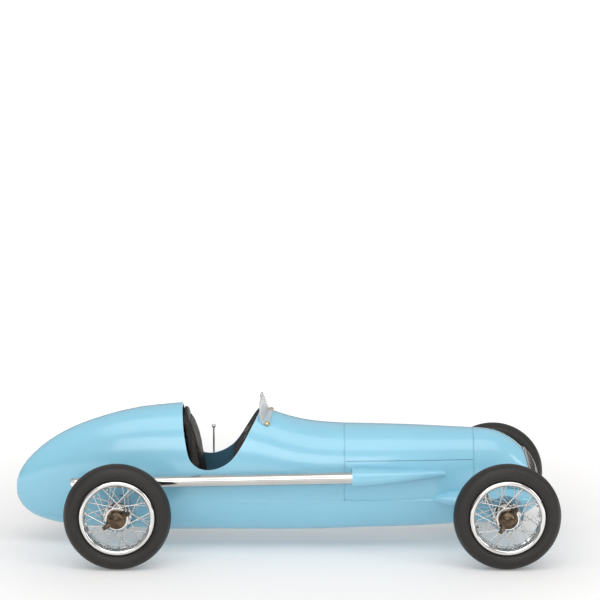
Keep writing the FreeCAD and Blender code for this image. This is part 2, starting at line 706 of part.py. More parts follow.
def drag_link():
    x0 = BOX_SHAFT_X - STEER_ARM
    x1 = FRONT_AXLE_X - STEER_ARM
    link = rod(Vector(x0, 0, TRACK_ROD_Z), Vector(x1, 0, TRACK_ROD_Z), 1.8)
    link = join([link, upright(x0, 0, TRACK_ROD_Z - 2.6, TRACK_ROD_Z + 3, 3.6)])
    link = link.cut(upright(x0, 0, 60, 80, STEER_PIN_R + RUNNING_CLEARANCE))
    return link.cut(track_rod())


# ---- Exhaust ----------------------------------------------------------------------------
def exhaust_pipe():
    tail = PIPE_REAR + (PIPE_REAR - PIPE_FRONT).normalize() * 6
    tail_radius = PIPE_REAR_R - 0.02
    pipe = tapered_rod(PIPE_FRONT, tail, PIPE_FRONT_R, tail_radius)
    pipe = pipe.cut(tapered_rod(PIPE_FRONT, tail, PIPE_FRONT_R - PIPE_WALL, tail_radius - PIPE_WALL))
    slash = Part.makeBox(40, 80, 40, Vector(-40, -40, -20))
    slash.rotate(Vector(0, 0, 0), Vector(0, 0, 1), PIPE_SLASH_DEG)
    slash.translate(PIPE_REAR + Vector(2.5, 0, 0))
    return solids_only(pipe.cut(slash))


def exhaust_fairing():
    """Teardrop cover where the exhaust leaves the bonnet."""
    stations = [(FAIRING_REAR_X, -51.0, 82.8, 8.6), (90, -49.9, 83.0, 7.6), (110, -47.8, 83.3, 6.3),
                (130, -44.4, 83.7, 5.0), (148, -40.6, 84.1, 3.9), (158, -38.4, 84.2, 3.2),
                (165, -36.6, 84.3, 2.2)]
    covers = []
    for shift in (0, 3.5, 7):
        rings = [Part.Wire([Part.makeCircle(radius, Vector(x, y + shift, z), Vector(1, 0, 0))])
                 for x, y, z, radius in stations]
        covers.append(Part.makeLoft(rings, True, False))
    cover = covers[0].multiFuse(covers[1:]).cut(OUTER)
    direction = (PIPE_FRONT - PIPE_REAR).normalize()
    mouth = rod(PIPE_FRONT - direction * 30, PIPE_FRONT + direction * 1.0, PIPE_FRONT_R + 0.2)
    return solids_only(cover.cut(mouth))


def exhaust_bracket():
    x = -60.0
    share = (PIPE_FRONT.x - x) / (PIPE_FRONT.x - PIPE_REAR.x)
    centre = PIPE_FRONT + (PIPE_REAR - PIPE_FRONT) * share
    post = rod(Vector(x, -36, centre.z), Vector(x, centre.y, centre.z), 2.2)
    plate = rod(Vector(x, -36, centre.z), Vector(x, -42.2, centre.z), 5.0)
    bracket = join([post, plate]).cut(OUTER)
    tube = tapered_rod(PIPE_FRONT, PIPE_REAR, PIPE_FRONT_R, PIPE_REAR_R)
    return solids_only(bracket.cut(tube))


# ---- Brake lever ------------------------------------------------------------------------
def lever_bracket():
    plate = rod(Vector(LEVER_X, 34, LEVER_PIVOT_Z), Vector(LEVER_X, 43.2, LEVER_PIVOT_Z), 6.0)
    pin = crosswise(LEVER_X, LEVER_PIVOT_Z, 42, 48.2, 1.5)
    cap = crosswise(LEVER_X, LEVER_PIVOT_Z, 46.8, 48.2, 3.0)
    return solids_only(join([plate, pin, cap]).cut(OUTER))


def brake_lever():
    eye = crosswise(LEVER_X, LEVER_PIVOT_Z, LEVER_Y - 1.4, LEVER_Y + 1.4, 4.0)
    low = Vector(LEVER_X, LEVER_Y, LEVER_PIVOT_Z)
    shaft = tapered_rod(low, Vector(LEVER_X, LEVER_Y, KNOB_Z), 1.4, 0.95)
    bore = crosswise(LEVER_X, LEVER_PIVOT_Z, 40, 50, 1.5 + RUNNING_CLEARANCE)
    return join([eye, shaft]).cut(bore).cut(lever_knob())


def lever_knob():
    return Part.makeSphere(2.3, Vector(LEVER_X, LEVER_Y, KNOB_Z))


# ---- Wheels -----------------------------------------------------------------------------
def revolved(edges):
    """Solid of revolution about the Y axis from a closed outline in the XY plane."""
    return Part.Face(Part.Wire(edges)).revolve(Vector(0, 0, 0), Vector(0, 1, 0), 360)


def at_radius(radius, across):
    """Point of a wheel's outline: distance from the axle, and distance outboard of the middle."""
    return Vector(radius, across, 0)


def tyre():
    shoulder = at_radius(51.3, 8.0)
    bead = at_radius(RIM_R + 0.05, 6.6)
    side = Part.Arc(bead, at_radius(45.5, TYRE_HALF_WIDTH), shoulder).toShape()
    tread = Part.Arc(shoulder, at_radius(TYRE_R, 0), at_radius(51.3, -8.0)).toShape()
    other_bead = at_radius(RIM_R + 0.05, -6.6)
    other_side = Part.Arc(at_radius(51.3, -8.0), at_radius(45.5, -TYRE_HALF_WIDTH), other_bead).toShape()
    base = Part.LineSegment(other_bead, bead).toShape()
    return revolved([side, tread, other_side, base])


def rim():
    """Rim with a rounded bead on each edge and a channel for the spoke heads."""
    low = RIM_R - 2 * RIM_BULGE_R
    flank = RIM_HALF_WIDTH - RIM_BULGE_R
    middle = RIM_R - RIM_BULGE_R
    edges = []
    edges.append(Part.LineSegment(at_radius(RIM_R, -flank), at_radius(RIM_R, flank)).toShape())
    edges.append(Part.Arc(at_radius(RIM_R, flank), at_radius(middle, RIM_HALF_WIDTH),
                          at_radius(low, flank)).toShape())
    channel = [at_radius(low, flank), at_radius(low, 5.0), at_radius(low + 1.6, 4.2),
               at_radius(low + 1.6, -4.2), at_radius(low, -5.0), at_radius(low, -flank)]
    for start, end in zip(channel, channel[1:]):
        edges.append(Part.LineSegment(start, end).toShape())
    edges.append(Part.Arc(at_radius(low, -flank), at_radius(middle, -RIM_HALF_WIDTH),
                          at_radius(RIM_R, -flank)).toShape())
    return revolved(edges)


def spokes():
    """Crossed straight spokes from both hub flanges to the channel of the rim."""
    bars = []
    rim_radius = RIM_R - 2 * RIM_BULGE_R + 2.6
    flanges = [(HUB_INNER_Y + 1.25 - HALF_TRACK, -2.6, 0.0), (HUB_OUTER_Y - 1.25 - HALF_TRACK, 2.6, 9.0)]
    for hub_across, rim_across, shift in flanges:
        hub_radius = 10.6
        for i in range(SPOKES_PER_FLANGE):
            lean = 1 if i % 2 else -1
            start = math.radians(360 / SPOKES_PER_FLANGE * i + shift)
            end = start + math.radians(62) * lean
            layer = 0.8 * lean
            hub_end = Vector(hub_radius * math.cos(end), hub_across + layer, hub_radius * math.sin(end))
            rim_end = Vector(rim_radius * math.cos(start), rim_across + layer,
                             rim_radius * math.sin(start))
            bars.append(rod(hub_end, rim_end, SPOKE_R))
    return Part.makeCompound(bars)


def hub():
    inner = HUB_INNER_Y - HALF_TRACK
    outer = HUB_OUTER_Y - HALF_TRACK
    pieces = [rod(Vector(0, inner, 0), Vector(0, outer, 0), HUB_BARREL_R),
              rod(Vector(0, inner, 0), Vector(0, inner + 2.5, 0), INNER_FLANGE_R),
              rod(Vector(0, outer - 2.5, 0), Vector(0, outer, 0), OUTER_FLANGE_R)]
    bore = rod(Vector(0, inner - 1, 0), Vector(0, outer + 1, 0), STUB_R + RUNNING_CLEARANCE)
    return join(pieces).cut(bore)


def knock_off_nut(ear_angle):
    """Two-eared wheel nut with a domed cap."""
    base = HUB_OUTER_Y + 0.1 - HALF_TRACK
    tip = NUT_TIP_Y - HALF_TRACK
    ring = rod(Vector(0, base, 0), Vector(0, base + 2.6, 0), 9.85)
    barrel = rod(Vector(0, base, 0), Vector(0, base + 6.0, 0), 8.0)
    dome_radius = 11.2
    dome = Part.makeSphere(dome_radius, Vector(0, tip - dome_radius, 0))
    dome = dome.common(rod(Vector(0, base + 3.0, 0), Vector(0, tip + 1, 0), 8.0))
    ears = []
    for turn in (0, 180):
        ear = Part.makeCone(2.9, 1.9, 9.0, Vector(6.6, base + 6.0, 0), Vector(1, 0.18, 0))
        ear = ear.common(box(0, 15.6, base + 3.8, base + 10, -5, 5))
        ear.rotate(Vector(0, 0, 0), Vector(0, 1, 0), turn - ear_angle)
        ears.append(ear)
    nut = join([ring, barrel, dome] + ears)
    bore = rod(Vector(0, base - 1, 0), Vector(0, STUB_END_Y + 0.6 - HALF_TRACK, 0), STUB_R + 0.3)
    return nut.cut(bore)


WHEEL_PLACES = [("front_left", FRONT_AXLE_X, 1, 100.0), ("front_right", FRONT_AXLE_X, -1, 56.0),
                ("rear_left", REAR_AXLE_X, 1, 20.0), ("rear_right", REAR_AXLE_X, -1, 32.0)]


def place_wheel(shape, x, side):
    """Move a wheel part, modelled at the middle of a left wheel, to its corner of the car."""
    placed = shape.copy()
    placed.translate(Vector(x, HALF_TRACK, AXLE_Z))
    return placed if side > 0 else mirror_y(placed)


def save_wheels():
    shared = {"tyre": tyre(), "rim": rim(), "spokes": spokes(), "hub": hub()}
    for corner, x, side, ear_angle in WHEEL_PLACES:
        for part_name, shape in shared.items():
            save(corner + "_" + part_name, place_wheel(shape, x, side))
        save(corner + "_knock_off_nut", place_wheel(knock_off_nut(ear_angle), x, side))


# ---- All nodes --------------------------------------------------------------------------
def save_body():
    save("main_body_shell", main_body_shell())
    save("bonnet_top", bonnet_top())
    save("bonnet_side_left", bonnet_side(1))
    save("bonnet_side_right", bonnet_side(-1))
    save("nose_cowl", nose_cowl())
    save("radiator_grille", radiator_grille())
    save("radiator_core", radiator_core())
    save("axle_fairings", axle_fairings())
    save("belly_pan", belly_pan())
    save("belly_pan_screws", belly_pan_screws())
    save("bonnet_hoops", bonnet_hoops())
    save("exhaust_fairing", exhaust_fairing())
    save("exhaust_pipe", exhaust_pipe())
    save("exhaust_bracket", exhaust_bracket())
    save("windscreen", windscreen())
    save("windscreen_screws", windscreen_screws())


def save_cockpit():
    save("dashboard", dashboard())
    save("gauges", gauges())
    save("seat_back", seat_back())
    save("seat_cushion", seat_cushion())
    save("cockpit_floor", cockpit_floor())
    save("lever_bracket", lever_bracket())
    save("brake_lever", brake_lever())
    save("lever_knob", lever_knob())


def save_chassis():
    save("chassis_rails", chassis_rails())
    save("front_axle_beam", front_axle_beam())
    save("kingpins", kingpins())
    save("rear_axle", rear_axle())
    save("rear_brake_drums", both_sides(brake_drum(REAR_AXLE_X)))
    save("stub_axle_left", stub_axle())
    save("stub_axle_right", mirror_y(stub_axle()))
    save("front_brake_drum_left", brake_drum(FRONT_AXLE_X))
    save("front_brake_drum_right", mirror_y(brake_drum(FRONT_AXLE_X)))
    save("steering_box", steering_box())
    save("drop_arm", drop_arm())
    save("track_rod", track_rod())
    save("drag_link", drag_link())
    save("steering_column", steering_column())
    save("steering_wheel_rim", steering_wheel_rim())
    save("steering_wheel_spider", steering_wheel_spider())


os.makedirs("parts", exist_ok=True)
save_body()
save_cockpit()
save_chassis()
save_wheels()
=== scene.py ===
import math

import bpy
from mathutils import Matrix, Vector, noise


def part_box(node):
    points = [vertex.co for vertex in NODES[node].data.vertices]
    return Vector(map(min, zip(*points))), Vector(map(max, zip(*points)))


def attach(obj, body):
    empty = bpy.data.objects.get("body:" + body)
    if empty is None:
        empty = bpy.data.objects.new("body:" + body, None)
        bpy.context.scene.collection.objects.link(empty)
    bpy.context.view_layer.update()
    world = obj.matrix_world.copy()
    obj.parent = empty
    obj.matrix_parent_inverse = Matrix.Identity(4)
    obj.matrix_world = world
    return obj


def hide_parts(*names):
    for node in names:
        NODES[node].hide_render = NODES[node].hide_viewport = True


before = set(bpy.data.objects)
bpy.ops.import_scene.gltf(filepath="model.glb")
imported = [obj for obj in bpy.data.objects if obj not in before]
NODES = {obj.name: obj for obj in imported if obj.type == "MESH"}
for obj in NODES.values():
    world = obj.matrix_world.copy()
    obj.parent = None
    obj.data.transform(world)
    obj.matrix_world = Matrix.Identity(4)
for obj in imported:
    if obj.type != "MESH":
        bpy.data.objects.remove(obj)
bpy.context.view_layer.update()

CORNERS = ("front_left", "front_right", "rear_left", "rear_right")
MM = 0.001


# ---- Places taken from the frame ---------------------------------------------------------
def middle(node):
    """Middle of a node's box."""
    low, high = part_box(node)
    return (low + high) / 2


WHEEL_R = (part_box("front_right_tyre")[1].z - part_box("front_right_tyre")[0].z) / 2
FRONT_AXLE = middle("front_right_tyre")
REAR_AXLE = middle("rear_right_tyre")
RIM_R = (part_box("front_right_rim")[1].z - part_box("front_right_rim")[0].z) / 2
WAIST_Z = 77 * MM

# The dashboard leans forward by this angle, through this point on its face.
DASH_LEAN = math.radians(31.0)
DASH_POINT = Vector((-38.6, 0, 121.0)) * MM
# Each instrument as (place across, rise up the dashboard, radius), in millimetres.
INSTRUMENTS = ((-15.5, -4.0, 5.0), (0, 2.0, 6.5), (15.5, -4.0, 5.0))

# Spokes in millimetres: how many in each row, and the radii where they meet the hub and the rim.
SPOKES_PER_ROW = 20
SPOKE_HUB_R = 10.6
SPOKE_RIM_R = 32.9
SPOKE_LEAN = math.radians(62)
CHANNEL_PITCH = 9.0 * MM


# ---- Camera, floor and light -------------------------------------------------------------
def camera():
    data = bpy.data.cameras.new("camera")
    data.sensor_width = 36.0
    data.lens = 142.62
    eye = bpy.data.objects.new("camera", data)
    eye.location = (0.01625, -2.4024, 0.6636)
    eye.rotation_euler = (math.radians(80.41), 0, 0)
    bpy.context.scene.collection.objects.link(eye)
    bpy.context.scene.camera = eye


def soft_box(name, place, target, width, height, power):
    """Rectangular studio light that faces a point."""
    data = bpy.data.lights.new(name, "AREA")
    data.shape = "RECTANGLE"
    data.size = width
    data.size_y = height
    data.energy = power
    lamp = bpy.data.objects.new(name, data)
    lamp.location = place
    lamp.rotation_euler = (Vector(target) - Vector(place)).to_track_quat("-Z", "Y").to_euler()
    bpy.context.scene.collection.objects.link(lamp)


def studio():
    """White floor with a painted glow that rises away from the car, white surroundings with a darker band
    at eye level, and soft lights.
    """
    mesh = bpy.data.meshes.new("floor")
    half = 30.0
    mesh.from_pydata([(-half, -half, 0), (half, -half, 0), (half, half, 0), (-half, half, 0)], [],
                     [(0, 1, 2, 3)])
    floor = bpy.data.objects.new("floor", mesh)
    bpy.context.scene.collection.objects.link(floor)
    paper = Paint("floor_paper")
    paper.set(Base_Color=(0.80, 0.79, 0.785, 1), Roughness=0.9, Specular_IOR_Level=0.1)
    paper.set(Emission_Color=(1, 1, 1, 1))
    # Painted light: the floor glows, weakly near the car and more strongly further out, so that it reads
    # pure white beyond the car's shadow.
    reach = paper.node("ShaderNodeVectorMath", operation="LENGTH")
    paper.link(paper.place, reach.inputs[0])
    glow = paper.span(reach.outputs["Value"], 0.26, 1.0, 0.16, 0.68)
    paper.link(glow, paper.shader.inputs["Emission Strength"])
    grain = paper.noise(40, 3)
    paper.bump(grain, 0.02, 0.0005)
    mesh.materials.append(paper.material)

    world = bpy.data.worlds.new("studio")
    bpy.context.scene.world = world
    world.use_nodes = True
    tree = world.node_tree
    tree.nodes.clear()
    out = tree.nodes.new("ShaderNodeOutputWorld")
    coords = tree.nodes.new("ShaderNodeTexCoord")
    split = tree.nodes.new("ShaderNodeSeparateXYZ")
    ramp = tree.nodes.new("ShaderNodeValToRGB")
    seen = tree.nodes.new("ShaderNodeBackground")
    lit = tree.nodes.new("ShaderNodeBackground")
    mix = tree.nodes.new("ShaderNodeMixShader")
    path = tree.nodes.new("ShaderNodeLightPath")
    stops = [(0.0, 0.20), (0.08, 0.26), (0.2, 0.62), (0.45, 0.9), (1.0, 1.0)]
    ramp.color_ramp.elements[0].position = stops[0][0]
    ramp.color_ramp.elements[0].color = (stops[0][1],) * 3 + (1,)
    ramp.color_ramp.elements[1].position = stops[-1][0]
    ramp.color_ramp.elements[1].color = (stops[-1][1],) * 3 + (1,)
    for place, value in stops[1:-1]:
        ramp.color_ramp.elements.new(place).color = (value,) * 3 + (1,)
    tree.links.new(coords.outputs["Generated"], split.inputs[0])
    tree.links.new(split.outputs["Z"], ramp.inputs[0])
    tree.links.new(ramp.outputs[0], lit.inputs["Color"])
    lit.inputs["Strength"].default_value = 0.66
    seen.inputs["Color"].default_value = (1, 1, 1, 1)
    tree.links.new(path.outputs["Is Camera Ray"], mix.inputs[0])
    tree.links.new(lit.outputs[0], mix.inputs[1])
    tree.links.new(seen.outputs[0], mix.inputs[2])
    tree.links.new(mix.outputs[0], out.inputs[0])

    soft_box("overhead", (0.0, -1.0, 1.7), (0, 0, 0), 2.4, 1.2, 14.5)
    soft_box("front_fill", (-0.4, -2.6, 1.0), (0, 0, 0.06), 1.8, 0.8, 13)
    soft_box("side_strip", (2.2, -1.4, 1.1), (0.15, 0, 0.08), 0.5, 1.2, 8)
    bpy.context.scene.view_settings.view_transform = "Standard"


# ---- Material kit ------------------------------------------------------------------------
class Paint:
    """A principled material with a few short ways to build its nodes."""

    def __init__(self, name):
        self.material = bpy.data.materials.new(name)
        self.material.use_nodes = True
        self.tree = self.material.node_tree
        self.shader = self.tree.nodes["Principled BSDF"]
        coordinates = self.tree.nodes.new("ShaderNodeTexCoord")
        self.place = coordinates.outputs["Object"]
        self.facing = coordinates.outputs["Normal"]
        self.last_normal = None

    def set(self, **values):
        for key, value in values.items():
            self.shader.inputs[key.replace("_", " ")].default_value = value

    def node(self, kind, **settings):
        made = self.tree.nodes.new(kind)
        for key, value in settings.items():
            setattr(made, key, value)
        return made

    def link(self, source, target):
        self.tree.links.new(source, target)

    def stretched(self, scale):
        """Object coordinates stretched by (x, y, z)."""
        mapping = self.node("ShaderNodeMapping")
        mapping.inputs["Scale"].default_value = scale
        self.link(self.place, mapping.inputs["Vector"])
        return mapping.outputs[0]

    def noise(self, scale, detail=4.0, rough=0.55, stretch=None, distort=0.0):
        made = self.node("ShaderNodeTexNoise")
        made.inputs["Scale"].default_value = scale
        made.inputs["Detail"].default_value = detail
        made.inputs["Roughness"].default_value = rough
        made.inputs["Distortion"].default_value = distort
        self.link(self.stretched(stretch) if stretch else self.place, made.inputs["Vector"])
        return made.outputs["Fac"]

    def cells(self, scale, feature="F1"):
        made = self.node("ShaderNodeTexVoronoi", feature=feature)
        made.inputs["Scale"].default_value = scale
        self.link(self.place, made.inputs["Vector"])
        return made.outputs["Distance"]

    def maths(self, operation, first, second=None):
        made = self.node("ShaderNodeMath", operation=operation)
        for socket, value in zip(made.inputs, (first, second)):
            if isinstance(value, (int, float)):
                socket.default_value = value
            elif value is not None:
                self.link(value, socket)
        return made.outputs[0]

    def span(self, value, low, high, to_low, to_high):
        """Value moved from one range to another, clamped."""
        made = self.node("ShaderNodeMapRange")
        names = ("From Min", "From Max", "To Min", "To Max")
        for name, number in zip(names, (low, high, to_low, to_high)):
            made.inputs[name].default_value = number
        self.link(value, made.inputs["Value"])
        return made.outputs["Result"]

    def ramp(self, value, stops):
        made = self.node("ShaderNodeValToRGB")
        elements = made.color_ramp.elements
        elements[0].position, elements[0].color = stops[0][0], tuple(stops[0][1]) + (1,)
        elements[1].position, elements[1].color = stops[-1][0], tuple(stops[-1][1]) + (1,)
        for place, colour in stops[1:-1]:
            elements.new(place).color = tuple(colour) + (1,)
        self.link(value, made.inputs[0])
        return made.outputs[0]

    def mix(self, share, first, second):
        made = self.node("ShaderNodeMix", data_type="RGBA")
        colours = [socket for socket in made.inputs if socket.type == "RGBA"]
        for socket, value in zip(colours, (first, second)):
            if isinstance(value, tuple):
                socket.default_value = value + (1,)
            else:
                self.link(value, socket)
        self.link(share, made.inputs["Factor"])
        return [socket for socket in made.outputs if socket.type == "RGBA"][0]

    def colour(self, source):
        self.link(source, self.shader.inputs["Base Color"])

    def rough(self, source):
        self.link(source, self.shader.inputs["Roughness"])

    def bump(self, height, strength, distance):
        made = self.node("ShaderNodeBump")
        made.inputs["Strength"].default_value = strength
        made.inputs["Distance"].default_value = distance
        self.link(height, made.inputs["Height"])
        if self.last_normal:
            self.link(self.last_normal, made.inputs["Normal"])
        self.last_normal = made.outputs[0]
        self.link(self.last_normal, self.shader.inputs["Normal"])


def body_paint():
    """Glossy light blue outside; on the faces that look inward a much darker blue, painted shade for the
    inside of the body, with a satin roughness.
    """
    paint = Paint("body_paint")
    broad = paint.noise(9, 3)
    blue = paint.ramp(broad, [(0.3, (0.255, 0.572, 0.735)), (0.7, (0.275, 0.597, 0.755))])
    # Painted shade: the dark blue that the inward faces get stands for the shade inside the body.
    inner_shade_blue = paint.ramp(paint.noise(30, 5), [(0.3, (0.050, 0.150, 0.220)), (0.7, (0.065, 0.180, 0.260))])
    shift = paint.node("ShaderNodeVectorMath", operation="SUBTRACT")
    paint.link(paint.place, shift.inputs[0])
    shift.inputs[1].default_value = (0, 0, WAIST_Z)
    flat = paint.node("ShaderNodeVectorMath", operation="MULTIPLY")
    paint.link(shift.outputs[0], flat.inputs[0])
    flat.inputs[1].default_value = (0, 1, 1)
    outward = paint.node("ShaderNodeVectorMath", operation="NORMALIZE")
    paint.link(flat.outputs[0], outward.inputs[0])
    facing = paint.node("ShaderNodeVectorMath", operation="DOT_PRODUCT")
    paint.link(outward.outputs[0], facing.inputs[0])
    paint.link(paint.facing, facing.inputs[1])
    # Mask of the inward faces, which get the painted shade and a higher roughness.
    inside = paint.span(facing.outputs["Value"], -0.32, -0.22, 1.0, 0.0)
    paint.colour(paint.mix(inside, blue, inner_shade_blue))
    gloss = paint.span(paint.noise(60, 5), 0.3, 0.7, 0.16, 0.24)
    paint.rough(paint.maths("ADD", gloss, paint.maths("MULTIPLY", inside, 0.25)))
    paint.set(Coat_Weight=0.55, Coat_Roughness=0.06, Coat_IOR=1.45, Specular_IOR_Level=0.5)
    paint.bump(paint.noise(900, 2), 0.03, 0.0001)
    paint.bump(paint.noise(45, 2), 0.05, 0.0006)
    return paint.material


def interior_paint():
    paint = Paint("interior_paint")
    cloud = paint.noise(30, 5)
    # Painted shade: a dark blue, the same as the painted shade on the body's inward faces, for the shade
    # on the cockpit floor.
    paint.colour(paint.ramp(cloud, [(0.3, (0.045, 0.125, 0.185)), (0.7, (0.06, 0.155, 0.225))]))
    paint.rough(paint.span(paint.noise(200, 4), 0.3, 0.7, 0.35, 0.5))
    paint.bump(paint.noise(700, 3), 0.12, 0.0002)
    return paint.material


def drum_paint():
    paint = Paint("drum_paint")
    paint.colour(paint.ramp(paint.noise(80, 5), [(0.3, (0.16, 0.40, 0.58)), (0.7, (0.20, 0.46, 0.64))]))
    paint.rough(paint.span(paint.noise(300, 4), 0.3, 0.7, 0.3, 0.45))
    paint.set(Coat_Weight=0.25, Coat_Roughness=0.15)
    paint.bump(paint.noise(900, 3), 0.1, 0.0002)
    return paint.material


def black_paint():
    paint = Paint("black_paint")
    cloud = paint.noise(120, 5)
    paint.colour(paint.ramp(cloud, [(0.3, (0.012, 0.012, 0.014)), (0.7, (0.03, 0.03, 0.032))]))
    paint.rough(paint.span(paint.noise(260, 5), 0.3, 0.7, 0.35, 0.55))
    paint.bump(paint.noise(800, 3), 0.15, 0.0002)
    return paint.material


def bright_plate(name, tint, low, high, streak):
    """Polished plating with faint polishing marks along one direction."""
    paint = Paint(name)
    paint.set(Metallic=1.0)
    lines = paint.noise(160, 4, 0.6, stretch=streak)
    cloud = paint.noise(35, 4)
    paint.colour(paint.ramp(cloud, [(0.25, tuple(c * 0.9 for c in tint)), (0.75, tint)]))
    paint.rough(paint.span(lines, 0.3, 0.7, low, high))
    paint.bump(lines, 0.02, 0.0001)
    return paint.material


def aged_brass():
    paint = Paint("aged_brass")
    patina = paint.noise(140, 6, 0.65)
    paint.set(Metallic=1.0)
    paint.colour(paint.ramp(patina, [(0.3, (0.060, 0.044, 0.032)), (0.52, (0.115, 0.083, 0.057)),
                                     (0.75, (0.30, 0.22, 0.14))]))
    paint.rough(paint.span(patina, 0.3, 0.75, 0.34, 0.18))
    paint.bump(paint.noise(420, 5), 0.15, 0.0003)
    return paint.material


def bright_brass():
    paint = Paint("bright_brass")
    patina = paint.noise(300, 4)
    paint.set(Metallic=1.0)
    paint.colour(paint.ramp(patina, [(0.3, (0.55, 0.38, 0.15)), (0.7, (0.80, 0.60, 0.30))]))
    paint.rough(paint.span(patina, 0.3, 0.7, 0.3, 0.18))
    paint.bump(paint.noise(900, 3), 0.08, 0.0001)
    return paint.material


def tyre_rubber(name, axle):
    """Brown-black rubber with moulded rings round the sidewall."""
    paint = Paint(name)
    split = paint.node("ShaderNodeSeparateXYZ")
    paint.link(paint.place, split.inputs[0])
    across = paint.maths("SUBTRACT", split.outputs["X"], axle.x)
    up = paint.maths("SUBTRACT", split.outputs["Z"], axle.z)
    square = paint.maths("ADD", paint.maths("MULTIPLY", across, across), paint.maths("MULTIPLY", up, up))
    radius = paint.maths("SQRT", square)
    rings = paint.maths("SINE", paint.maths("MULTIPLY", radius, 2 * math.pi / (1.9 * MM)))
    inner = paint.span(radius, WHEEL_R * 0.80, WHEEL_R * 0.83, 1.0, 0.0)
    outer = paint.span(radius, WHEEL_R * 0.955, WHEEL_R * 0.965, 0.0, 1.0)
    band = paint.maths("MULTIPLY", rings, paint.maths("ADD", paint.maths("MULTIPLY", inner, 0.25),
                                                      paint.maths("MULTIPLY", outer, 0.2)))
    dust = paint.noise(55, 6, 0.6)
    paint.colour(paint.ramp(dust, [(0.3, (0.0095, 0.0080, 0.0070)), (0.7, (0.0170, 0.0145, 0.0125))]))
    paint.rough(paint.span(dust, 0.3, 0.7, 0.42, 0.56))
    paint.bump(band, 0.35, 0.0006)
    paint.bump(paint.noise(650, 4), 0.12, 0.0003)
    return paint.material


def black_leather():
    """Black hide with fine grain, creases and a soft worn sheen."""
    paint = Paint("black_leather")
    pores = paint.cells(1500)
    wrinkles = paint.noise(160, 5, 0.6, stretch=(1, 2.4, 0.7), distort=0.6)
    wear = paint.noise(60, 4)
    paint.colour(paint.ramp(wear, [(0.35, (0.010, 0.008, 0.007)), (0.62, (0.020, 0.017, 0.015)),
                                   (0.8, (0.036, 0.030, 0.026))]))
    paint.rough(paint.span(wrinkles, 0.3, 0.7, 0.34, 0.52))
    paint.set(Specular_IOR_Level=0.28, Sheen_Weight=0.02, Sheen_Roughness=0.4)
    paint.bump(pores, 0.25, 0.00025)
    paint.bump(wrinkles, 0.4, 0.0008)
    return paint.material


def dash_leather():
    """Dull dark covering on the dashboard."""
    paint = Paint("dash_leather")
    grain = paint.cells(1300)
    cloud = paint.noise(70, 5)
    paint.colour(paint.ramp(cloud, [(0.3, (0.010, 0.008, 0.007)), (0.7, (0.022, 0.018, 0.015))]))
    paint.rough(paint.span(paint.noise(220, 4), 0.3, 0.7, 0.62, 0.8))
    paint.set(Specular_IOR_Level=0.15)
    paint.bump(grain, 0.25, 0.00025)
    return paint.material


def clear_acrylic():
    """Clear sheet with a faint milky haze, as old acrylic has."""
    paint = Paint("clear_acrylic")
    haze = paint.noise(90, 5)
    paint.colour(paint.ramp(haze, [(0.3, (0.90, 0.93, 0.94)), (0.7, (0.97, 0.98, 0.98))]))
    paint.set(Transmission_Weight=0.72, IOR=1.30, Specular_IOR_Level=0.6)
    paint.rough(paint.span(haze, 0.3, 0.7, 0.03, 0.10))
    paint.bump(paint.noise(30, 2), 0.04, 0.0005)
    return paint.material


def black_moulding():
    paint = Paint("black_moulding")
    cloud = paint.noise(200, 4)
    paint.colour(paint.ramp(cloud, [(0.3, (0.012, 0.012, 0.012)), (0.7, (0.028, 0.026, 0.026))]))
    paint.rough(paint.span(paint.noise(400, 4), 0.3, 0.7, 0.22, 0.34))
    paint.bump(paint.noise(900, 3), 0.1, 0.0002)
    return paint.material


def dial_face():
    paint = Paint("dial_face")
    cloud = paint.noise(300, 4)
    paint.colour(paint.ramp(cloud, [(0.3, (0.010, 0.010, 0.011)), (0.7, (0.022, 0.022, 0.024))]))
    paint.rough(paint.span(paint.noise(500, 4), 0.3, 0.7, 0.4, 0.55))
    paint.bump(paint.noise(900, 3), 0.1, 0.0001)
    return paint.material


def ivory_print():
    paint = Paint("ivory_print")
    paint.colour(paint.ramp(paint.noise(400, 3), [(0.3, (0.34, 0.32, 0.27)), (0.7, (0.42, 0.40, 0.34))]))
    paint.rough(paint.span(paint.noise(500, 3), 0.3, 0.7, 0.4, 0.5))
    return paint.material


# ---- Mesh kit ----------------------------------------------------------------------------
def piece(name, vertices, faces, material, body, smooth=True):
    """New mesh object that rides on a body."""
    mesh = bpy.data.meshes.new(name)
    mesh.from_pydata([tuple(v) for v in vertices], [], faces)
    mesh.materials.append(material)
    for polygon in mesh.polygons:
        polygon.use_smooth = smooth
    made = bpy.data.objects.new(name, mesh)
    bpy.context.scene.collection.objects.link(made)
    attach(made, body)
    return made


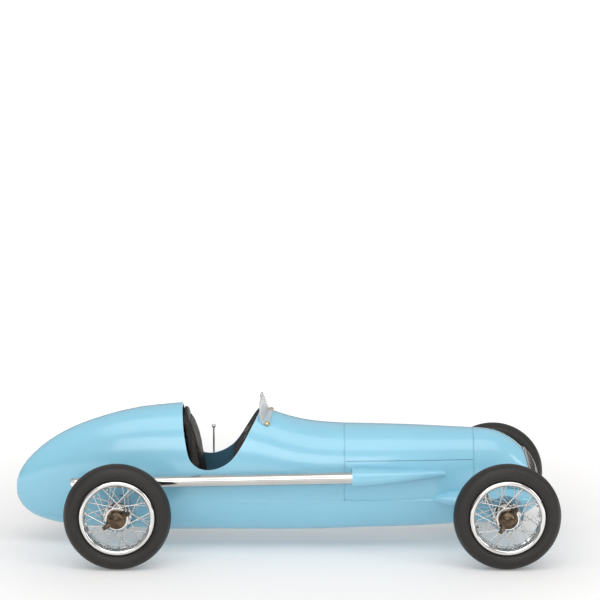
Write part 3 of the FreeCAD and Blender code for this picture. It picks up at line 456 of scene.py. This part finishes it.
class Builder:
    """Collects vertices and faces of many small shapes into one piece."""

    def __init__(self):
        self.vertices = []
        self.faces = []

    def add(self, vertices, faces):
        base = len(self.vertices)
        self.vertices += [Vector(v) for v in vertices]
        self.faces += [tuple(base + i for i in face) for face in faces]

    def rings(self, rings, close_ends=True, loop=False):
        """Skin over a list of rings that have the same number of points."""
        count = len(rings[0])
        vertices = [point for ring in rings for point in ring]
        faces = []
        last = len(rings) if loop else len(rings) - 1
        for r in range(last):
            a = r * count
            b = ((r + 1) % len(rings)) * count
            for i in range(count):
                j = (i + 1) % count
                faces.append((a + i, a + j, b + j, b + i))
        if close_ends and not loop:
            faces.append(tuple(reversed(range(count))))
            faces.append(tuple(range((len(rings) - 1) * count, len(rings) * count)))
        self.add(vertices, faces)

    def lathe(self, base, axis, profile, sides=24):
        """Solid of revolution: profile is (distance along the axis, radius) from one end to the other."""
        axis = Vector(axis).normalized()
        u = axis.orthogonal().normalized()
        v = axis.cross(u)
        rings = []
        for along, radius in profile:
            ring = []
            for i in range(sides):
                a = 2 * math.pi * i / sides
                ring.append(Vector(base) + axis * along + (u * math.cos(a) + v * math.sin(a)) * radius)
            rings.append(ring)
        self.rings(rings)

    def tube(self, points, radius, sides=8, loop=False):
        """Round tube along a list of points."""
        points = [Vector(p) for p in points]
        rings = []
        count = len(points)
        side = None
        for i, point in enumerate(points):
            before = points[(i - 1) % count] if loop or i else point
            after = points[(i + 1) % count] if loop or i < count - 1 else point
            along = (after - before).normalized()
            if side is None:
                side = along.orthogonal().normalized()
            side = (side - along * side.dot(along)).normalized()
            other = along.cross(side)
            rings.append([point + (side * math.cos(2 * math.pi * k / sides)
                                   + other * math.sin(2 * math.pi * k / sides)) * radius
                          for k in range(sides)])
        self.rings(rings, loop=loop)

    def make(self, name, material, body, smooth=True):
        return piece(name, self.vertices, self.faces, material, body, smooth)


def wear(nodes, material):
    """Give CAD nodes a material."""
    for name in nodes:
        data = NODES[name].data
        data.materials.clear()
        data.materials.append(material)


# ---- Wheels ------------------------------------------------------------------------------
def spoke_ends(corner, steel):
    """Nipples where the spokes enter the rim."""
    centre = middle(corner + "_tyre")
    side = 1 if centre.y > 0 else -1
    builder = Builder()
    for across, shift in ((-2.6, 0.0), (2.6, 9.0)):
        for i in range(SPOKES_PER_ROW):
            lean = 1 if i % 2 else -1
            start = math.radians(18 * i + shift)
            end = start + SPOKE_LEAN * lean
            hub_across = -4.75 if across < 0 else 7.75
            rim_y = (across + 0.8 * lean) * side
            hub_y = (hub_across + 0.8 * lean) * side
            rim_point = Vector((SPOKE_RIM_R * math.cos(start), rim_y, SPOKE_RIM_R * math.sin(start)))
            hub_point = Vector((SPOKE_HUB_R * math.cos(end), hub_y, SPOKE_HUB_R * math.sin(end)))
            inward = (hub_point - rim_point).normalized()
            profile = [(0.0, 0.9 * MM), (1.6 * MM, 0.9 * MM), (2.0 * MM, 0.6 * MM)]
            builder.lathe(centre + rim_point * MM, inward, profile, 8)
    builder.make(corner + "_spoke_nipples", steel, corner + "_wheel")


def valve_stem(corner, metal):
    centre = middle(corner + "_tyre")
    builder = Builder()
    angle = math.radians(200 if "front" in corner else 110)
    out = Vector((math.cos(angle), 0, math.sin(angle)))
    foot = centre + out * (RIM_R - 4.3 * MM)
    profile = [(0, 1.0 * MM), (3.2 * MM, 1.0 * MM), (3.2 * MM, 1.3 * MM), (6.0 * MM, 1.3 * MM),
               (6.5 * MM, 0.9 * MM)]
    builder.lathe(foot, -out, profile, 12)
    builder.make(corner + "_valve_stem", metal, corner + "_wheel")


# ---- Seat --------------------------------------------------------------------------------
def copy_mesh(shape, name):
    """Mesh of an object with its modifiers applied."""
    graph = bpy.context.evaluated_depsgraph_get()
    graph.update()
    mesh = bpy.data.meshes.new_from_object(shape.evaluated_get(graph))
    mesh.name = name
    return mesh


def inflate(pad, pressure, cap):
    """Blow up a closed mesh as cloth, and let no point move more than cap."""
    start = [vertex.co.copy() for vertex in pad.data.vertices]
    cloth = pad.modifiers.new("cloth", "CLOTH")
    settings = cloth.settings
    settings.quality = 6
    settings.mass = 0.2
    settings.tension_stiffness = 12
    settings.compression_stiffness = 12
    settings.bending_stiffness = 0.4
    settings.use_pressure = True
    settings.uniform_pressure_force = pressure
    settings.effector_weights.gravity = 0
    cloth.point_cache.frame_start = 1
    cloth.point_cache.frame_end = 20
    for step in range(1, 21):
        bpy.context.scene.frame_set(step)
    blown = copy_mesh(pad, pad.name + "_blown")
    pad.modifiers.remove(cloth)
    for vertex, before, after in zip(pad.data.vertices, start, blown.vertices):
        move = after.co - before
        if move.length > cap:
            move *= cap / move.length
        vertex.co = before + move
    bpy.data.meshes.remove(blown)
    bpy.context.scene.frame_set(1)


def padded(node, name, material, voxel, shrink, cap, sew):
    """Leather pad in the place of a plain CAD solid: inflated first, then sewn."""
    pad = bpy.data.objects.new(name, NODES[node].data.copy())
    bpy.context.scene.collection.objects.link(pad)
    remesh = pad.modifiers.new("remesh", "REMESH")
    remesh.mode = "VOXEL"
    remesh.voxel_size = voxel
    even = copy_mesh(pad, name)
    pad.modifiers.clear()
    pad.data = even
    for vertex in even.vertices:
        vertex.co -= vertex.normal * shrink
    inflate(pad, 4.0, cap)
    divide = pad.modifiers.new("divide", "SUBSURF")
    divide.levels = 1
    divide.render_levels = 1
    fine = copy_mesh(pad, name + "_mesh")
    pad.modifiers.clear()
    pad.data = fine
    for vertex in fine.vertices:
        vertex.co += sew(vertex.co, vertex.normal)
    for polygon in fine.polygons:
        polygon.use_smooth = True
    fine.materials.clear()
    fine.materials.append(material)
    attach(pad, "car")
    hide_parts(node)
    return pad


def creases(place, amount):
    """Small irregular folds of soft hide."""
    fold = noise.noise(Vector((place.x * 90, place.y * 170, place.z * 60)))
    fine = noise.noise(Vector((place.x * 260, place.y * 300, place.z * 240 + 7)))
    return amount * (fold + 0.35 * fine)


def channel_depth(across):
    """How deep a sewn channel is at this place across the pad, from 0 to 1."""
    share = (across / CHANNEL_PITCH) % 1.0
    return math.exp(-(min(share, 1 - share) / 0.10) ** 2)


def sew_backrest(place, normal):
    """Upright channels down the front, with a seam across below the top roll."""
    facing = max(0.0, normal.x)
    channel = channel_depth(place.y)
    seam = math.exp(-((place.z - 136.0 * MM) / (1.3 * MM)) ** 2)
    below = min(max((134.0 * MM - place.z) / (4 * MM), 0.0), 1.0)
    depth = 1.9 * MM * channel * below * facing + 1.4 * MM * seam * facing
    return normal * (creases(place, 0.35 * MM) - depth)


def sew_cushion(place, normal):
    """Channels from front to back on the top of the cushion."""
    facing = max(0.0, normal.z)
    channel = channel_depth(place.y)
    return normal * (creases(place, 0.3 * MM) - 1.0 * MM * channel * facing)


def seat(leather):
    padded("seat_back", "leather_backrest", leather, 2.0 * MM, 1.1 * MM, 1.5 * MM, sew_backrest)
    padded("seat_cushion", "leather_seat_cushion", leather, 1.8 * MM, 1.0 * MM, 1.4 * MM, sew_cushion)


# ---- Instruments and small fittings ------------------------------------------------------
def instrument_faces(metal, ivory):
    """Bezels, scale marks and needles on the instruments."""
    forward = Vector((math.cos(DASH_LEAN), 0, -math.sin(DASH_LEAN)))
    up = Vector((math.sin(DASH_LEAN), 0, math.cos(DASH_LEAN)))
    side = Vector((0, -1, 0))
    point = DASH_POINT + forward * 0.3 * MM
    bezels = Builder()
    marks = Builder()
    for across, rise, radius in INSTRUMENTS:
        centre = point + up * rise * MM + Vector((0, across * MM, 0))
        edge = radius * MM
        turns = [2 * math.pi * i / 40 for i in range(40)]
        ring = [centre + (up * math.cos(a) + side * math.sin(a)) * edge for a in turns]
        bezels.tube(ring, 0.35 * MM, 8, loop=True)
        for i in range(13):
            a = math.radians(-130 + 260 * i / 12)
            out = up * math.cos(a) + side * math.sin(a)
            inner = 0.70 if i % 3 == 0 else 0.78
            marks.tube([centre + out * edge * inner - forward * 0.02 * MM,
                        centre + out * edge * 0.88 - forward * 0.02 * MM], 0.13 * MM, 6)
        a = math.radians(-70 + across * 3)
        out = up * math.cos(a) + side * math.sin(a)
        lift = -forward * 0.25 * MM
        marks.tube([centre + lift - out * edge * 0.15, centre + lift + out * edge * 0.66], 0.16 * MM, 6)
        marks.lathe(centre, -forward, [(0, 0.6 * MM), (0.45 * MM, 0.55 * MM), (0.5 * MM, 0.1 * MM)], 16)
    bezels.make("instrument_bezels", metal, "car")
    marks.make("instrument_marks", ivory, "car")


# ---- Everything --------------------------------------------------------------------------
def dress_nodes():
    blue = body_paint()
    chrome = bright_plate("polished_pipe", (0.66, 0.635, 0.61), 0.06, 0.16, (0.03, 1, 1))
    rim_chrome = bright_plate("rim_plating", (0.83, 0.82, 0.80), 0.07, 0.16, (1, 1, 1))
    steel = bright_plate("bright_steel", (0.72, 0.71, 0.69), 0.16, 0.30, (1, 0.2, 1))
    dark = black_paint()
    brass = aged_brass()
    leather = black_leather()
    wear(["main_body_shell", "bonnet_top", "bonnet_side_left", "bonnet_side_right", "nose_cowl",
          "axle_fairings", "exhaust_fairing", "belly_pan", "bonnet_hoops"], blue)
    wear(["radiator_grille", "exhaust_pipe"], chrome)
    wear(["radiator_core", "chassis_rails"], dark)
    wear(["belly_pan_screws", "exhaust_bracket", "lever_bracket", "brake_lever", "kingpins",
          "front_axle_beam", "rear_axle", "stub_axle_left", "stub_axle_right", "steering_column",
          "drop_arm", "track_rod", "drag_link"], steel)
    wear(["steering_box", "steering_wheel_spider", "lever_knob"],
         bright_plate("satin_aluminium", (0.74, 0.74, 0.73), 0.25, 0.4, (1, 1, 0.2)))
    wear(["windscreen"], clear_acrylic())
    wear(["windscreen_screws"], bright_brass())
    wear(["seat_back", "seat_cushion"], leather)
    wear(["dashboard"], dash_leather())
    seat(leather)
    instrument_faces(dark, ivory_print())
    wear(["gauges"], dial_face())
    wear(["cockpit_floor"], interior_paint())
    wear(["rear_brake_drums", "front_brake_drum_left", "front_brake_drum_right"], drum_paint())
    wear(["steering_wheel_rim"], black_moulding())
    tyres = {"front": tyre_rubber("front_tyre_rubber", FRONT_AXLE),
             "rear": tyre_rubber("rear_tyre_rubber", REAR_AXLE)}
    for corner in CORNERS:
        wear([corner + "_tyre"], tyres[corner.split("_")[0]])
        wear([corner + "_rim", corner + "_hub"], rim_chrome)
        wear([corner + "_spokes"], steel)
        wear([corner + "_knock_off_nut"], brass)
        spoke_ends(corner, steel)
        valve_stem(corner, steel)


camera()
studio()
dress_nodes()
